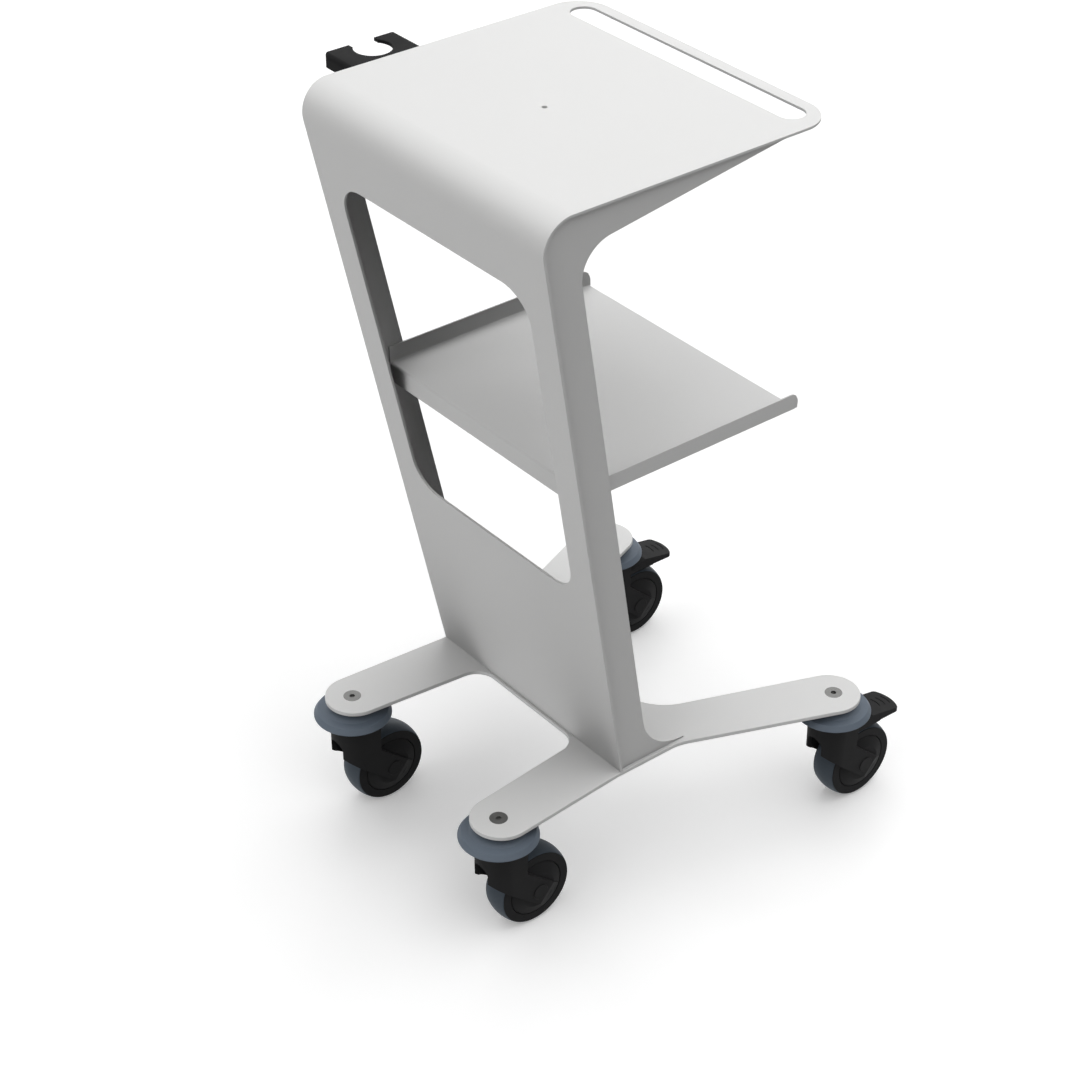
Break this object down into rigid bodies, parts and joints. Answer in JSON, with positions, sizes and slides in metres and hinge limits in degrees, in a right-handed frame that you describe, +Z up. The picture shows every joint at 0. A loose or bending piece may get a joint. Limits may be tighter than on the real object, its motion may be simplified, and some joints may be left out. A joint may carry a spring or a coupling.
{
  "type": "therapy trolley",
  "caption": "Sheet-metal therapy trolley with a table top and hand slot, a leaning back panel, a tray shelf, a handpiece bracket and braked swivel casters.",
  "frame": {"origin": "on the floor under the middle of the outline", "axes": "+Z up, +Y towards the leaning back panel, +X towards the handpiece bracket"},
  "size_m": [0.543, 0.6354, 0.9793],
  "materials": {
    "white_powder_coat": "fine matt powder coat",
    "black_powder_coat": "matt powder coat",
    "bumper_rubber": "smooth blue-grey elastomer",
    "tread_rubber": "smooth blue-grey tread",
    "black_nylon": "satin moulded nylon",
    "wheel_nylon": "satin moulded nylon",
    "black_steel": "blackened steel",
    "pad_rubber": "matt",
    "zinc_steel": "zinc plated"
  },
  "bodies": {
    "root": {"base_plate": "white_powder_coat", "bracket_nuts": "zinc_steel", "bracket_screws": "zinc_steel", "caster_screws": "zinc_steel", "column_foot_plate": "white_powder_coat", "column_screws": "zinc_steel", "front_left_bumper_disc": "bumper_rubber", "front_left_swivel_stem": "zinc_steel", "front_right_bumper_disc": "bumper_rubber", "front_right_swivel_stem": "zinc_steel", "handpiece_bracket": "black_powder_coat", "rear_left_bumper_disc": "bumper_rubber", "rear_left_swivel_stem": "zinc_steel", "rear_right_bumper_disc": "bumper_rubber", "rear_right_swivel_stem": "zinc_steel", "shelf_tray": "white_powder_coat", "side_web_left": "white_powder_coat", "side_web_right": "white_powder_coat", "stem_rings": "zinc_steel", "top_and_back_sheet": "white_powder_coat"},
    "front_left_swivel": {"front_left_axle": "black_steel", "front_left_axle_nut": "black_steel", "front_left_fork": "black_nylon", "front_left_pedal_pin": "zinc_steel", "front_left_swivel_bearing": "zinc_steel"},
    "front_left_wheel": {"front_left_tyre": "tread_rubber", "front_left_wheel_bearings": "zinc_steel", "front_left_wheel_core": "wheel_nylon"},
    "front_left_pedal": {"front_left_brake_pad": "pad_rubber", "front_left_brake_pedal": "black_nylon"},
    "front_right_swivel": {"front_right_axle": "black_steel", "front_right_axle_nut": "black_steel", "front_right_fork": "black_nylon", "front_right_pedal_pin": "zinc_steel", "front_right_swivel_bearing": "zinc_steel"},
    "front_right_wheel": {"front_right_tyre": "tread_rubber", "front_right_wheel_bearings": "zinc_steel", "front_right_wheel_core": "wheel_nylon"},
    "front_right_pedal": {"front_right_brake_pad": "pad_rubber", "front_right_brake_pedal": "black_nylon"},
    "rear_left_swivel": {"rear_left_axle": "black_steel", "rear_left_axle_nut": "black_steel", "rear_left_fork": "black_nylon", "rear_left_swivel_bearing": "zinc_steel"},
    "rear_left_wheel": {"rear_left_tyre": "tread_rubber", "rear_left_wheel_bearings": "zinc_steel", "rear_left_wheel_core": "wheel_nylon"},
    "rear_right_swivel": {"rear_right_axle": "black_steel", "rear_right_axle_nut": "black_steel", "rear_right_fork": "black_nylon", "rear_right_swivel_bearing": "zinc_steel"},
    "rear_right_wheel": {"rear_right_tyre": "tread_rubber", "rear_right_wheel_bearings": "zinc_steel", "rear_right_wheel_core": "wheel_nylon"}
  },
  "joints": [
    {"name": "front_left_swivel_turn", "type": "hinge", "parent": "root", "child": "front_left_swivel", "pos_m": [-0.2222, -0.2105, 0.16], "axis": [0, 0, 1], "continuous": true},
    {"name": "front_left_wheel_spin", "type": "hinge", "parent": "front_left_swivel", "child": "front_left_wheel", "pos_m": [-0.2222, -0.2535, 0.0529], "axis": [1, 0, 0], "continuous": true},
    {"name": "front_left_pedal_press", "type": "hinge", "parent": "front_left_swivel", "child": "front_left_pedal", "pos_m": [-0.2222, -0.226, 0.1178], "axis": [1, 0, 0], "range_deg": [0, 5]},
    {"name": "front_right_swivel_turn", "type": "hinge", "parent": "root", "child": "front_right_swivel", "pos_m": [0.2222, -0.2105, 0.16], "axis": [0, 0, 1], "continuous": true},
    {"name": "front_right_wheel_spin", "type": "hinge", "parent": "front_right_swivel", "child": "front_right_wheel", "pos_m": [0.2222, -0.2535, 0.0529], "axis": [1, 0, 0], "continuous": true},
    {"name": "front_right_pedal_press", "type": "hinge", "parent": "front_right_swivel", "child": "front_right_pedal", "pos_m": [0.2222, -0.226, 0.1178], "axis": [1, 0, 0], "range_deg": [0, 5]},
    {"name": "rear_left_swivel_turn", "type": "hinge", "parent": "root", "child": "rear_left_swivel", "pos_m": [-0.149, 0.2684, 0.16], "axis": [0, 0, 1], "continuous": true},
    {"name": "rear_left_wheel_spin", "type": "hinge", "parent": "rear_left_swivel", "child": "rear_left_wheel", "pos_m": [-0.149, 0.2254, 0.0529], "axis": [1, 0, 0], "continuous": true},
    {"name": "rear_right_swivel_turn", "type": "hinge", "parent": "root", "child": "rear_right_swivel", "pos_m": [0.149, 0.2684, 0.16], "axis": [0, 0, 1], "continuous": true},
    {"name": "rear_right_wheel_spin", "type": "hinge", "parent": "rear_right_swivel", "child": "rear_right_wheel", "pos_m": [0.149, 0.2254, 0.0529], "axis": [1, 0, 0], "continuous": true}
  ]
}
